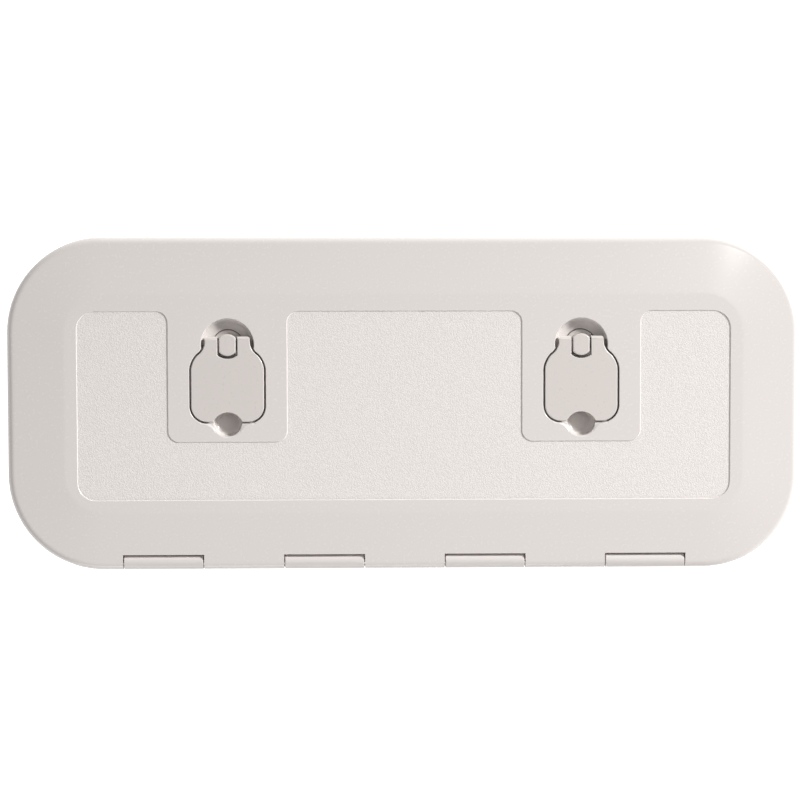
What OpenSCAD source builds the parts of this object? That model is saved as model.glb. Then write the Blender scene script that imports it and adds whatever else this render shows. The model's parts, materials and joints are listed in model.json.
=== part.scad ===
/* [Hatch] */
// Length of the lid along the hinge side
hatch_l = 600; // [560:5:640]
// Width of the lid from hinge side to latch side
hatch_w = 252; // [244:2:264]
// Radius of the lid's corners
corner_r = 72.5; // [66:0.5:80]

/* [Lid] */
// Height of the lid's rolled edge above the deck
edge_top = 13; // [13:0.5:14]
// Height of the flat middle of the lid above the deck
lid_top = 15; // [15:0.25:16]
// Width of the sloping border around the flat middle
border_w = 43.5; // [38:0.5:46]
// Depth of the non-slip panel below the flat middle
panel_depth = 0.7; // [0.3:0.1:1]
// Length of the non-slip panel
panel_l = 493.8; // [460:0.2:496]
// Distance of the panel's edge from the middle line, on the hinge side
panel_low = 72.9; // [70:0.1:75]
// Distance of the panel's edge from the middle line, on the latch side
panel_high = 69.8; // [67:0.1:72]
// Corner radius of the non-slip panel
panel_r = 13.5; // [6:0.5:18]
// Height of the lid's underside above the deck
lid_under = 10.2; // [9.8:0.1:10.4]
// Height of the lower edge of the lid's skirt
skirt_z = 3.4; // [3.2:0.1:3.8]

/* [Frame] */
// Thickness of the deck flange
flange_t = 3; // [2.5:0.1:3.2]
// Length of the clear opening
opening_l = 528; // [500:1:530]
// Width of the clear opening
opening_w = 180; // [170:1:182]
// Corner radius of the clear opening
opening_r = 37; // [30:1:40]
// Thickness of the coaming wall
coaming_t = 3; // [2:0.5:3]
// Depth of the coaming below the deck
coaming_depth = 25; // [20:1:40]
// Radius of the deck screw holes
screw_r = 2.25; // [1.8:0.05:2.5]

/* [Hinge] */
// Radius of the hinge barrel, and of the lid's rolled edge
hinge_r = 5.5; // [5:0.1:5.5]
// Radius of the hinge rod
rod_r = 2; // [1.5:0.1:2.2]
// Length of the hinge rod
rod_l = 444; // [440:1:448]
// Length of each frame knuckle
knuckle_l = 60; // [40:1:64]
// X of the inner pair of frame knuckles, either side of the middle
knuckle_x1 = 61; // [50:1:70]
// X of the outer pair of frame knuckles, either side of the middle
knuckle_x2 = 183; // [170:1:190]
// Gap at each end of a knuckle
knuckle_gap = 0.75; // [0.5:0.05:1]

/* [Latches] */
// Distance of each latch from the middle of the hatch
latch_x = 133.7; // [110:0.1:150]
// Distance of the latches' turning axis from the middle line
latch_y = 44.4; // [43:0.1:45]
// Width of the raised pad around each latch
pad_w = 90; // [84:1:96]
// Length of the pad on the hinge side of the turning axis
pad_reach = 73.3; // [71:0.1:76]
// Corner radius of the pad
pad_r = 8.5; // [4:0.5:12]
// Radius of the bowl around the barrel
bowl_r = 20; // [19.8:0.1:20.5]
// Radius of the barrel's flange
barrel_r = 11.3; // [10.5:0.1:11.3]
// Radius of the barrel's post
post_r = 8.2; // [7.8:0.1:8.4]
// Half of the post's width across its flats
post_flat = 6.4; // [5.5:0.1:6.6]
// Radius of the spindle
spindle_r = 6; // [5.5:0.1:6.2]
// Side of the spindle's square end
square_w = 8.2; // [7:0.1:8.4]
// Gap between handle and pocket
pocket_gap = 1.3; // [1.3:0.1:1.6]
// Reach of the cam from the turning axis
cam_reach = 44; // [43:0.5:44.5]

/* [Handles] */
// Half of the handle's widest width
handle_half = 27.5; // [27:0.1:28]
// Half of the handle's width at its neck
neck_half = 17; // [16.5:0.1:17.2]
// Distance of the handle's free end from the turning axis
handle_reach = 58; // [56:0.5:59]
// Thickness of the handle
handle_t = 3.5; // [3:0.1:3.6]
// Radius of the handle's pin
pin_r = 1.2; // [1:0.05:1.4]
// Radius of the rim of the finger dish
dish_rim = 11; // [10:0.1:11]
// Depth of the finger dish
dish_depth = 10; // [8:0.1:10.4]

/* [Hidden] */
$fn = 64;
eps = 0.01;
reach = 400;                                // longer than any part, for through cuts
hinge_y = -hatch_w / 2 + hinge_r;
hinge_z = edge_top - hinge_r;
hinge_wall_y = hinge_y + hinge_r + 0.5;     // inner face of the lid's knuckle notches
knuckles = [-knuckle_x2, -knuckle_x1, knuckle_x1, knuckle_x2];
shelf_z = 1.5;                              // flange height under the hinge
run_fit = 0.06;
lip_t = 2.5;
lip_top = 6.5;
seal_gap = 0.2;
seal_w = 8;
channel_wall = 2.2;
channel_z = 7.2;                            // lower edge of the seal channel's ribs
rib_z = 6.8;
rib_half = 1;
rib_x = [-200, -67, 0, 67, 200];
rib_y = [-50, -12];
rib_inset = 6;                              // ribs stop this far inside the opening
flange_inset = 0.8;
wall = 3.2;
// deck screws: four near the corners, four towards the middle, two at the ends
screw_y = 104;
screw_x_outer = 215;
screw_x_inner = 72;
screw_x_end = 282;
sink_r = 4.2;
sink_depth = 1.5;
// levels of the latch
bowl_curve = 8.5;                           // radius of the bowl's curved wall
bowl_z = lid_top - bowl_curve;
barrel_t = 1.5;
gland_z = 3;
ring_r = 0.95;
seat_gap = 0.05;
boss_r = 13;
boss_bottom = -4.5;
wave_z = boss_bottom - 0.55;
wave_amp = 0.25;
washer_top = boss_bottom - 1.1;
washer_t = 1;
cam_hub_top = washer_top - washer_t - 0.05;
cam_top = -8.4;
cam_t = 4;
cam_w = 18;
cam_hub_r = 10;
bolt_head = [4.4, 2.6];                     // radius and height
bolt_washer = [8, 1];
bolt_thread = [2.45, 9.5];
bolt_hex_r = 2.3;
keeper_w = 36;
keeper_out = 7;
keeper_top = -5;
keeper_t = 3;
cup_wall = 2.2;
pocket_z = 10.5;
pocket_step = 0.5;                          // eased upper edge of the pocket
pocket_ease = 0.6;
dish_z = lid_top - dish_depth;
dish_round = 5;                             // radius between the dish's wall and its floor
dish_cup_r = dish_rim + 2;
dish_cup_z = dish_z - cup_wall;
// handle outline: a concave arc at the neck runs into a convex shoulder
neck_arc = [28, 2, 11];
shoulder_arc = [handle_half - 15.25, -19, 15.25];
turn_angle = atan2(neck_arc[1] - shoulder_arc[1], neck_arc[0] - shoulder_arc[0]);
end_corner_r = 12;
arc_steps = 8;
pin_y = 4;
pin_z = 12.5;
pin_half = 14;
boss_pin_r = lid_top - pin_z;
slot_half = 7.55;
slot_arc = [1.6, 12];                       // y of its centre, and radius
notch = [-63, 12.07];
handle_edge = 0.4;
handle_taper = 5;

function arc(c, r, a0, a1) = [for (i = [0:arc_steps]) let (a = a0 + (a1 - a0) * i / arc_steps)
                              [c[0] + r * cos(a), c[1] + r * sin(a)]];

// right half of the handle's outline, moved inwards by d
function half_outline(d) = concat(
    [[neck_half - d, pin_y]],
    arc(neck_arc, neck_arc[2] + d, 180, 180 + turn_angle),
    arc(shoulder_arc, shoulder_arc[2] - d, turn_angle, 0),
    arc([handle_half - end_corner_r, end_corner_r - handle_reach], end_corner_r - d, 0, -90));

function outline(d) = let (h = half_outline(d), n = len(h))
    concat(h, [for (i = [n - 1:-1:0]) [-h[i][0], h[i][1]]]);

module rounded(l, w, r) {
    square([l - 2 * r, w], center = true);
    square([l, w - 2 * r], center = true);
    for (x = [-1, 1], y = [-1, 1])
        translate([x * (l / 2 - r), y * (w / 2 - r)]) circle(r);
}

module slab(l, w, r, z0, z1) {
    translate([0, 0, z0]) linear_extrude(z1 - z0) rounded(l, w, r);
}

// the lid's outline, moved inwards by d
module lid_slab(d, z0, z1) {
    slab(hatch_l - 2 * d, hatch_w - 2 * d, corner_r - d, z0, z1);
}

module box(x0, x1, y0, y1, z0, z1) {
    translate([x0, y0, z0]) cube([x1 - x0, y1 - y0, z1 - z0]);
}

module along_x(x0, x1, y, z, r) {
    translate([x0, y, z]) rotate([0, 90, 0]) cylinder(h = x1 - x0, r = r);
}

module at_latch(side) {
    translate([side * latch_x, latch_y, 0]) children();
}

module tube(r_in, r_out, z0, z1) {
    translate([0, 0, z0]) difference() {
        cylinder(h = z1 - z0, r = r_out);
        translate([0, 0, -eps]) cylinder(h = z1 - z0 + 2 * eps, r = r_in);
    }
}

module deck_screw_hole() {
    translate([0, 0, -1]) cylinder(h = flange_t + 2, r = screw_r);
    translate([0, 0, flange_t - sink_depth]) cylinder(h = sink_depth, r1 = screw_r, r2 = sink_r);
    translate([0, 0, flange_t - eps]) cylinder(h = 1, r = sink_r);
}

module frame() {
    color("whitesmoke") difference() {
        union() {
            difference() {
                union() {
                    lid_slab(flange_inset, 0, flange_t);
                    slab(opening_l + 2 * coaming_t, opening_w + 2 * coaming_t,
                         opening_r + coaming_t, -coaming_depth, flange_t);
                    slab(opening_l + 2 * lip_t, opening_w + 2 * lip_t, opening_r + lip_t, 0, lip_top);
                }
                slab(opening_l, opening_w, opening_r, -reach, reach);
                // shelf that the opened lid's edge swings into
                box(-reach, reach, -reach, hinge_y, shelf_z, reach);
                along_x(-reach, reach, hinge_y, hinge_z, hinge_z - shelf_z);
            }
            for (x = knuckles) {
                along_x(x - knuckle_l / 2, x + knuckle_l / 2, hinge_y, hinge_z, hinge_r);
                box(x - knuckle_l / 2, x + knuckle_l / 2, hinge_y - hinge_r + 0.3,
                    hinge_y + hinge_r - 0.2, 1, hinge_z);
            }
            for (side = [-1, 1])
                box(side * latch_x - keeper_w / 2, side * latch_x + keeper_w / 2,
                    opening_w / 2 - keeper_out, opening_w / 2 + 1,
                    keeper_top - keeper_t, keeper_top);
        }
        along_x(-reach, reach, hinge_y, hinge_z, rod_r + 0.02);
        for (y = [-screw_y, screw_y], x = [-screw_x_outer, -screw_x_inner, screw_x_inner, screw_x_outer])
            translate([x, y, 0]) deck_screw_hole();
        for (x = [-screw_x_end, screw_x_end])
            translate([x, 0, 0]) deck_screw_hole();
    }
}

module hinge_rod() {
    color("silver") along_x(-rod_l / 2, rod_l / 2, hinge_y, hinge_z, rod_r);
}

module lid_outside() {
    hull() {
        lid_slab(0, skirt_z, hinge_z);
        for (a = [22.5:22.5:90])
            lid_slab(hinge_r * (1 - cos(a)), hinge_z, hinge_z + hinge_r * sin(a));
        lid_slab(border_w, hinge_z, lid_top);
    }
}

module lid_inside() {
    difference() {
        hull() {
            lid_slab(wall, 0, hinge_z);
            lid_slab(wall + 4, 0, lid_under);
        }
        box(-reach, reach, -reach, hinge_wall_y + 2.5, -1, reach);
    }
}

module pad() {
    y0 = -pad_reach;
    y1 = panel_high - latch_y + 5;
    translate([0, (y0 + y1) / 2]) rounded(pad_w, y1 - y0, pad_r);
}

// panel outline: a strip along the hinge side and a field either side of each pad
module panel_outline() {
    pad_end = latch_y - pad_reach;
    edge = latch_x + pad_w / 2;
    inner = latch_x - pad_w / 2;
    panel_w = panel_low + panel_high;
    mid_y = (panel_high - panel_low) / 2;
    difference() {
        intersection() {
            translate([0, mid_y]) rounded(panel_l, panel_w, panel_r);
            union() {
                translate([0, (pad_end + pad_r - panel_low) / 2])
                    square([panel_l, pad_end + pad_r + panel_low], center = true);
                translate([0, mid_y]) rounded(2 * inner, panel_w, pad_r);
                for (side = [-1, 1])
                    translate([side * (edge + panel_l / 2) / 2, mid_y])
                        rounded(panel_l / 2 - edge, panel_w, pad_r);
            }
        }
        for (side = [-1, 1])
            translate([side * latch_x, latch_y]) pad();
    }
}

module panel_recess() {
    translate([0, 0, lid_top - panel_depth]) linear_extrude(5) panel_outline();
}

module latch_cup() {
    translate([0, 0, pocket_z - cup_wall])
        linear_extrude(cup_wall) polygon(outline(-pocket_gap - cup_wall));
    translate([0, 0, bowl_z - 1.7]) cylinder(h = lid_under - bowl_z + 2, r = bowl_r + 1.5);
    translate([0, 0, boss_bottom]) cylinder(h = bowl_z - boss_bottom, r = boss_r);
    translate([0, -handle_reach, dish_cup_z]) cylinder(h = lid_under - dish_cup_z + eps, r = dish_cup_r);
}

module finger_dish() {
    rotate_extrude() {
        translate([0, dish_z]) square([dish_rim - dish_round, 20]);
        translate([0, dish_z + dish_round]) square([dish_rim, 20]);
        translate([dish_rim - dish_round, dish_z + dish_round]) circle(dish_round);
    }
}

module latch_hollow() {
    translate([0, 0, pocket_z]) linear_extrude(10) polygon(outline(-pocket_gap));
    translate([0, 0, lid_top - pocket_step])
        linear_extrude(10) polygon(outline(-pocket_gap - pocket_ease));
    // bowl with a concave wall
    rotate_extrude() difference() {
        translate([0, bowl_z]) square([bowl_r, bowl_curve + 1]);
        translate([bowl_r - bowl_curve, lid_top]) difference() {
            translate([0, -bowl_curve - 1]) square([bowl_curve + 1, bowl_curve + 1]);
            circle(bowl_curve);
        }
    }
    translate([0, 0, bowl_z - barrel_t - seat_gap]) cylinder(h = barrel_t + 1, r = barrel_r + 0.1);
    translate([0, 0, gland_z]) cylinder(h = bowl_z - gland_z, r = spindle_r + 2.3);
    translate([0, 0, boss_bottom - 1]) cylinder(h = 12, r = spindle_r + run_fit);
    translate([0, -handle_reach, 0]) finger_dish();
}

module seal_ring(grow_in, grow_out, z0, z1) {
    mid_l = opening_l + lip_t;
    mid_w = opening_w + lip_t;
    mid_r = opening_r + lip_t / 2;
    difference() {
        slab(mid_l + seal_w + 2 * grow_out, mid_w + seal_w + 2 * grow_out,
             mid_r + seal_w / 2 + grow_out, z0, z1);
        slab(mid_l - seal_w + 2 * grow_in, mid_w - seal_w + 2 * grow_in,
             mid_r - seal_w / 2 + grow_in, z0 - 1, z1 + 1);
    }
}

module stiffeners() {
    end_x = opening_l / 2 - rib_inset;
    end_y = opening_w / 2 - rib_inset;
    for (x = rib_x)
        box(x - rib_half, x + rib_half, -end_y, end_y, rib_z, lid_under + eps);
    for (y = rib_y)
        box(-end_x, end_x, y - rib_half, y + rib_half, rib_z, lid_under + eps);
}

module lid() {
    color("whitesmoke") difference() {
        union() {
            difference() {
                lid_outside();
                lid_inside();
            }
            seal_ring(-channel_wall, channel_wall, channel_z, lid_under + eps);
            stiffeners();
            for (side = [-1, 1])
                at_latch(side) latch_cup();
        }
        // groove for the seal
        seal_ring(0, 0, 0, lid_under);
        panel_recess();
        for (side = [-1, 1])
            at_latch(side) latch_hollow();
        for (x = knuckles)
            box(x - knuckle_l / 2 - knuckle_gap, x + knuckle_l / 2 + knuckle_gap,
                -reach, hinge_wall_y, -1, reach);
        // below its axis the hinge side is only the round bead
        difference() {
            box(-reach, reach, -reach, hinge_y + hinge_r + 0.3, -1, hinge_z);
            along_x(-reach - 1, reach + 1, hinge_y, hinge_z, hinge_r);
        }
        along_x(-reach, rod_l / 2 + 1, hinge_y, hinge_z, rod_r + run_fit);
    }
}

module lid_seal() {
    color("dimgray") seal_ring(0, 0, lip_top + seal_gap, lid_under);
}

module barrel(side) {
    color("gainsboro") at_latch(side) difference() {
        union() {
            translate([0, 0, bowl_z - barrel_t]) cylinder(h = barrel_t, r = barrel_r);
            intersection() {
                cylinder(h = lid_top - 0.2, r = post_r);
                box(-post_flat, post_flat, -reach, reach, bowl_z - eps, reach);
            }
            translate([0, 0, washer_top - washer_t]) cylinder(h = bowl_z - washer_top, r = spindle_r);
            translate([-square_w / 2, -square_w / 2, cam_top - cam_t])
                cube([square_w, square_w, cam_t + 3]);
        }
        along_x(-10, 10, pin_y, pin_z, pin_r + 0.03);
        translate([0, 0, cam_top - cam_t - 1]) cylinder(h = 12, r = 2.5);
    }
}

module barrel_o_ring(side) {
    color("black") at_latch(side) translate([0, 0, bowl_z - barrel_t - ring_r - seat_gap])
        rotate_extrude() translate([spindle_r + 1.15, 0]) circle(ring_r, $fn = 32);
}

// ring whose height follows three waves round the spindle
module wave_washer(side) {
    n = 36;
    t = 0.3;
    r_in = spindle_r + 0.3;
    r_out = spindle_r + 4.5;
    pts = [for (i = [0:n - 1]) let (a = 360 * i / n, z = wave_amp * sin(3 * a))
           for (q = [[r_in, -t], [r_out, -t], [r_out, t], [r_in, t]])
           [q[0] * cos(a), q[0] * sin(a), z + q[1] / 2]];
    faces = [for (i = [0:n - 1], k = [0:3]) let (j = (i + 1) % n, m = (k + 1) % 4)
             [4 * i + k, 4 * i + m, 4 * j + m, 4 * j + k]];
    color("silver") at_latch(side) translate([0, 0, wave_z])
        polyhedron(pts, faces, convexity = 4);
}

module flat_washer(side) {
    color("silver") at_latch(side)
        tube(spindle_r + 0.2, spindle_r + 5, washer_top - washer_t, washer_top);
}

module cam(side) {
    color("dimgray") at_latch(side) difference() {
        union() {
            translate([0, 0, cam_top - cam_t]) cylinder(h = cam_hub_top - cam_top + cam_t, r = cam_hub_r);
            box(-cam_w / 2, cam_w / 2, 0, cam_reach - 4, cam_top - cam_t, cam_top);
            // rounded tip
            intersection() {
                translate([0, 0, cam_top - cam_t]) cylinder(h = cam_t, r = cam_reach);
                box(-cam_w / 2, cam_w / 2, 10, reach, -reach, reach);
            }
        }
        translate([-square_w / 2 - 0.05, -square_w / 2 - 0.05, -reach])
            cube([square_w + 0.1, square_w + 0.1, reach]);
    }
}

module cam_screw(side) {
    head_z = cam_top - cam_t - 0.05;
    color("silver") at_latch(side) difference() {
        union() {
            translate([0, 0, head_z - bolt_washer[1]]) cylinder(h = bolt_washer[1], r = bolt_washer[0]);
            translate([0, 0, head_z - bolt_washer[1] - bolt_head[1] + 0.1])
                cylinder(h = bolt_head[1], r = bolt_head[0]);
            translate([0, 0, head_z - 0.5]) cylinder(h = bolt_thread[1] + 0.5, r = bolt_thread[0]);
        }
        translate([0, 0, head_z - bolt_washer[1] - bolt_head[1] - 0.9])
            cylinder(h = 3, r = bolt_hex_r, $fn = 6);
    }
}

module handle_pin(side) {
    color("silver") at_latch(side) along_x(-pin_half, pin_half, pin_y, pin_z, pin_r);
}

// plate whose sides taper in towards its underside
module handle_plate() {
    rings = [[lid_top - handle_t, handle_taper], [lid_top - handle_edge, 0], [lid_top, handle_edge]];
    n = len(outline(0));
    pts = [for (q = rings, p = outline(q[1])) [p[0], p[1], q[0]]];
    sides = [for (k = [0:1], i = [0:n - 1]) let (j = (i + 1) % n)
             [k * n + i, k * n + j, (k + 1) * n + j, (k + 1) * n + i]];
    polyhedron(pts, concat([[for (i = [0:n - 1]) n - 1 - i]], sides,
                           [[for (i = [0:n - 1]) 2 * n + i]]), convexity = 6);
}

module handle(side) {
    color("whitesmoke") at_latch(side) difference() {
        union() {
            handle_plate();
            along_x(-neck_half, neck_half, pin_y, pin_z, boss_pin_r);
        }
        intersection() {
            box(-slot_half, slot_half, -reach, reach, 0, reach);
            union() {
                translate([0, slot_arc[0], 0]) cylinder(h = 30, r = slot_arc[1]);
                box(-slot_half, slot_half, 0, reach, 0, reach);
            }
        }
        translate([0, notch[0], 0]) cylinder(h = 30, r = notch[1]);
        along_x(-pin_half - 0.3, pin_half + 0.3, pin_y, pin_z, pin_r + run_fit);
    }
}

frame();
hinge_rod();
lid();
lid_seal();
barrel(-1);  // barrel_left
barrel_o_ring(-1);  // barrel_o_ring_left
wave_washer(-1);  // wave_washer_left
flat_washer(-1);  // flat_washer_left
cam(-1);  // cam_left
cam_screw(-1);  // cam_screw_left
handle_pin(-1);  // handle_pin_left
handle(-1);  // handle_left
barrel(1);  // barrel_right
barrel_o_ring(1);  // barrel_o_ring_right
wave_washer(1);  // wave_washer_right
flat_washer(1);  // flat_washer_right
cam(1);  // cam_right
cam_screw(1);  // cam_screw_right
handle_pin(1);  // handle_pin_right
handle(1);  // handle_right
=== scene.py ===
import json
import math
import bmesh
import bpy
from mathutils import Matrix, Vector


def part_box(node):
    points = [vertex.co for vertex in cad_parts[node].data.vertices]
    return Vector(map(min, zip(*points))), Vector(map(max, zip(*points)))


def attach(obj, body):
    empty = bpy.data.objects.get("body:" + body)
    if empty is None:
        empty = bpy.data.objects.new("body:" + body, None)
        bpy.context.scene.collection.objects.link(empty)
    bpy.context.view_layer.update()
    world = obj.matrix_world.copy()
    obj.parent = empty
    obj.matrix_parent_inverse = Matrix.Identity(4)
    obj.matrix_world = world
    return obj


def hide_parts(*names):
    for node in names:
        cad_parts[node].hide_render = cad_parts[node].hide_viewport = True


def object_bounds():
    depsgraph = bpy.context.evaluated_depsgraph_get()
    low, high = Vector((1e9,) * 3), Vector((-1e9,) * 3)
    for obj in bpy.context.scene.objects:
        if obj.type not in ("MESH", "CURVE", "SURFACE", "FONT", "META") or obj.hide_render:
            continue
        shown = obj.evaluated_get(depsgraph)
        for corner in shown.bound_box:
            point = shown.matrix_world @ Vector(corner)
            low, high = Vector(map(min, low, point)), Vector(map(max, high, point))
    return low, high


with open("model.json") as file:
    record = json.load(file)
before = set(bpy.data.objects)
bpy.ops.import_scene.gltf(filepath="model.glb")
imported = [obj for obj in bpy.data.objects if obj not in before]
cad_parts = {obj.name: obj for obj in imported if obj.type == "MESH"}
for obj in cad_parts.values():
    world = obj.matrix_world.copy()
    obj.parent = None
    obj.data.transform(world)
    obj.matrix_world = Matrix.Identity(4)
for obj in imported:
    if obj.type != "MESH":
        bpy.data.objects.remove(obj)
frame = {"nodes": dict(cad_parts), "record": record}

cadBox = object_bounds()
mm = 0.001
joints = {j["name"]: j for j in frame["record"]["behaviour"]["joints"]}
hingeY, hingeZ = joints["lid_open"]["pos_m"][1:]
latches = {"left": joints["latch_turn_left"]["pos_m"], "right": joints["latch_turn_right"]["pos_m"]}
lidHigh = Vector(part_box("lid")[1])
frameLow = Vector(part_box("frame")[0])
topZ = lidHigh.z
cutTop = topZ + 1.5 * mm  # where cutters of the lid's face begin
past = 1 * mm  # how far a cutter or a root runs past the surface it meets
tiny = 1e-5  # closer than this, two vertices are level


# hand tools, used like the menu entries they wrap
def only(obj):
    if bpy.context.mode != "OBJECT":
        bpy.ops.object.mode_set(mode="OBJECT")
    bpy.ops.object.select_all(action="DESELECT")
    obj.select_set(True)
    bpy.context.view_layer.objects.active = obj
    return obj


def edit(obj, kind="FACE", everything=True):
    only(obj)
    bpy.ops.object.mode_set(mode="EDIT")
    bpy.ops.mesh.select_mode(type=kind)
    bpy.ops.mesh.select_all(action="SELECT" if everything else "DESELECT")


def done():
    bpy.ops.object.mode_set(mode="OBJECT")


def pick(obj, kind, test):
    edit(obj, kind, everything=False)
    mesh = bmesh.from_edit_mesh(obj.data)
    mesh.normal_update()
    for part in {"VERT": mesh.verts, "EDGE": mesh.edges, "FACE": mesh.faces}[kind]:
        part.select = test(part)
    mesh.select_flush_mode()
    bmesh.update_edit_mesh(obj.data)


def roundCorners(obj, radius, test, steps=10):
    pick(obj, "VERT", test)
    bpy.ops.mesh.bevel(offset=radius, segments=steps, affect="VERTICES")
    done()


def plate(name, size, middle, z, radius=0, steps=12):
    bpy.ops.mesh.primitive_plane_add(size=1, location=(middle[0], middle[1], z))
    obj = bpy.context.active_object
    obj.name = name
    obj.scale = (size[0], size[1], 1)
    bpy.ops.object.transform_apply(location=True, rotation=False, scale=True)
    if radius:
        roundCorners(obj, radius, lambda v: True, steps)
    return obj


def disc(name, radius, middle, z, steps=64):
    bpy.ops.mesh.primitive_circle_add(vertices=steps, radius=radius, fill_type="NGON",
                                      location=(middle[0], middle[1], z))
    obj = bpy.context.active_object
    obj.name = name
    bpy.ops.object.transform_apply(location=True, rotation=False, scale=True)
    edit(obj)
    bpy.ops.mesh.normals_make_consistent(inside=False)
    done()
    pick(obj, "FACE", lambda f: f.normal.z < 0)
    if obj.data.total_face_sel:
        bpy.ops.mesh.flip_normals()
    done()
    return obj


def build(obj, levels):
    # levels are (distance inside the first outline, height); the first two share one distance
    edit(obj)
    for (before, low), (inside, high) in zip(levels, levels[1:]):
        if abs(inside - before) < 1e-7:
            bpy.ops.mesh.extrude_region_move(TRANSFORM_OT_translate={"value": (0, 0, high - low)})
        else:
            bpy.ops.mesh.inset(thickness=inside - before, depth=high - low)
    bpy.ops.mesh.select_all(action="SELECT")
    bpy.ops.mesh.normals_make_consistent(inside=False)
    done()
    return obj


def combine(obj, other, how="DIFFERENCE"):
    only(obj)
    cut = obj.modifiers.new(how.lower(), "BOOLEAN")
    cut.operation = how
    cut.solver = "MANIFOLD"
    cut.object = other
    bpy.ops.object.modifier_apply(modifier=cut.name)
    bpy.data.objects.remove(other, do_unlink=True)
    return obj


def clean(obj, gap=0.01 * mm):
    edit(obj)
    bpy.ops.mesh.remove_doubles(threshold=gap)
    bpy.ops.mesh.dissolve_degenerate(threshold=gap)
    done()


def smooth(obj, degrees=32):
    only(obj)
    bpy.ops.object.shade_smooth_by_angle(angle=math.radians(degrees))
    even = obj.modifiers.new("even", "WEIGHTED_NORMAL")
    even.keep_sharp = True
    bpy.ops.object.modifier_apply(modifier=even.name)


def soften(obj, width, degrees=40, steps=3):
    only(obj)
    edge = obj.modifiers.new("soft edges", "BEVEL")
    edge.width = width
    edge.segments = steps
    edge.limit_method = "ANGLE"
    edge.angle_limit = math.radians(degrees)
    bpy.ops.object.modifier_apply(modifier=edge.name)


def mouth(radius, top, rise=1.5 * mm):
    # levels of a rounded mouth that opens at height top, from above the surface down to the straight wall
    wide = 1.6 * radius
    levels = [(0, top + rise), (0, top + 0.3 * radius)]
    for angle in (72, 48, 24, 0):
        a = math.radians(angle)
        levels.append((wide - radius * (1 - math.cos(a)), top - radius * (1 - math.sin(a))))
    return wide, levels


def eased(z, edge, up=1):
    # last levels of a wall that ends in an eased edge at height z
    return [(0, z - up * edge), (0.3 * edge, z - up * 0.3 * edge), (edge, z)]


def finishPiece(obj, material, body, nodes=()):
    obj.data.materials.clear()
    for entry in material if isinstance(material, (list, tuple)) else [material]:
        obj.data.materials.append(entry)
    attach(obj, body)
    if nodes:
        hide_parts(*nodes)
    return obj


# one shader group for every moulding, then the finishes
def groupOf(name, inputs, outputs):
    group = bpy.data.node_groups.new(name, "ShaderNodeTree")
    for label, kind in inputs:
        group.interface.new_socket(label, in_out="INPUT", socket_type=kind)
    for label, kind in outputs:
        group.interface.new_socket(label, in_out="OUTPUT", socket_type=kind)
    return group, group.nodes.new("NodeGroupInput"), group.nodes.new("NodeGroupOutput")


def toneGroup():
    # fine drift of tone over a moulding, and a mask that its roughness follows
    group, into, out = groupOf("moulding tone",
                               [("Colour", "NodeSocketColor"), ("Drift", "NodeSocketFloat"),
                                ("Size", "NodeSocketFloat")],
                               [("Colour", "NodeSocketColor"), ("Mask", "NodeSocketFloat")])
    nodes, links = group.nodes, group.links
    place = nodes.new("ShaderNodeTexCoord")
    cloud = nodes.new("ShaderNodeTexNoise")
    cloud.inputs["Detail"].default_value = 2
    links.new(place.outputs["Object"], cloud.inputs["Vector"])
    links.new(into.outputs["Size"], cloud.inputs["Scale"])
    spread = nodes.new("ShaderNodeMapRange")
    spread.interpolation_type = "SMOOTHERSTEP"
    spread.inputs["From Min"].default_value = 0.15
    spread.inputs["From Max"].default_value = 0.85
    links.new(cloud.outputs["Fac"], spread.inputs["Value"])
    amount = nodes.new("ShaderNodeMath")
    amount.operation = "MULTIPLY"
    links.new(spread.outputs["Result"], amount.inputs[0])
    links.new(into.outputs["Drift"], amount.inputs[1])
    darker = nodes.new("ShaderNodeMix")
    darker.data_type = "RGBA"
    darker.blend_type = "MULTIPLY"
    darker.inputs["B"].default_value = (0.55, 0.54, 0.5, 1)
    links.new(amount.outputs["Value"], darker.inputs["Factor"])
    links.new(into.outputs["Colour"], darker.inputs["A"])
    links.new(darker.outputs["Result"], out.inputs["Colour"])
    links.new(spread.outputs["Result"], out.inputs["Mask"])
    return group


tone = toneGroup()


def newMaterial(name, colour, rough, metallic=0.0):
    material = bpy.data.materials.new(name)
    material.use_nodes = True
    shader = material.node_tree.nodes["Principled BSDF"]
    shader.inputs["Base Color"].default_value = (*colour, 1)
    shader.inputs["Roughness"].default_value = rough
    shader.inputs["Metallic"].default_value = metallic
    material.diffuse_color = (*colour, 1)
    return material, material.node_tree.nodes, material.node_tree.links, shader


def addTone(nodes, links, shader, colour, drift, size, rough):
    # colour drift and the roughness that goes with it
    moulding = nodes.new("ShaderNodeGroup")
    moulding.node_tree = tone
    moulding.inputs["Colour"].default_value = (*colour, 1)
    moulding.inputs["Drift"].default_value = drift
    moulding.inputs["Size"].default_value = size
    links.new(moulding.outputs["Colour"], shader.inputs["Base Color"])
    spread = nodes.new("ShaderNodeMapRange")
    spread.inputs["To Min"].default_value = rough[0]
    spread.inputs["To Max"].default_value = rough[1]
    links.new(moulding.outputs["Mask"], spread.inputs["Value"])
    links.new(spread.outputs["Result"], shader.inputs["Roughness"])
    return moulding


def noiseBump(nodes, links, shader, scale, height):
    place = nodes.new("ShaderNodeTexCoord")
    grain = nodes.new("ShaderNodeTexNoise")
    grain.inputs["Scale"].default_value = scale
    grain.inputs["Detail"].default_value = 3
    links.new(place.outputs["Object"], grain.inputs["Vector"])
    bump = nodes.new("ShaderNodeBump")
    bump.inputs["Strength"].default_value = 1
    bump.inputs["Distance"].default_value = height
    links.new(grain.outputs["Fac"], bump.inputs["Height"])
    links.new(bump.outputs["Normal"], shader.inputs["Normal"])


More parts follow.
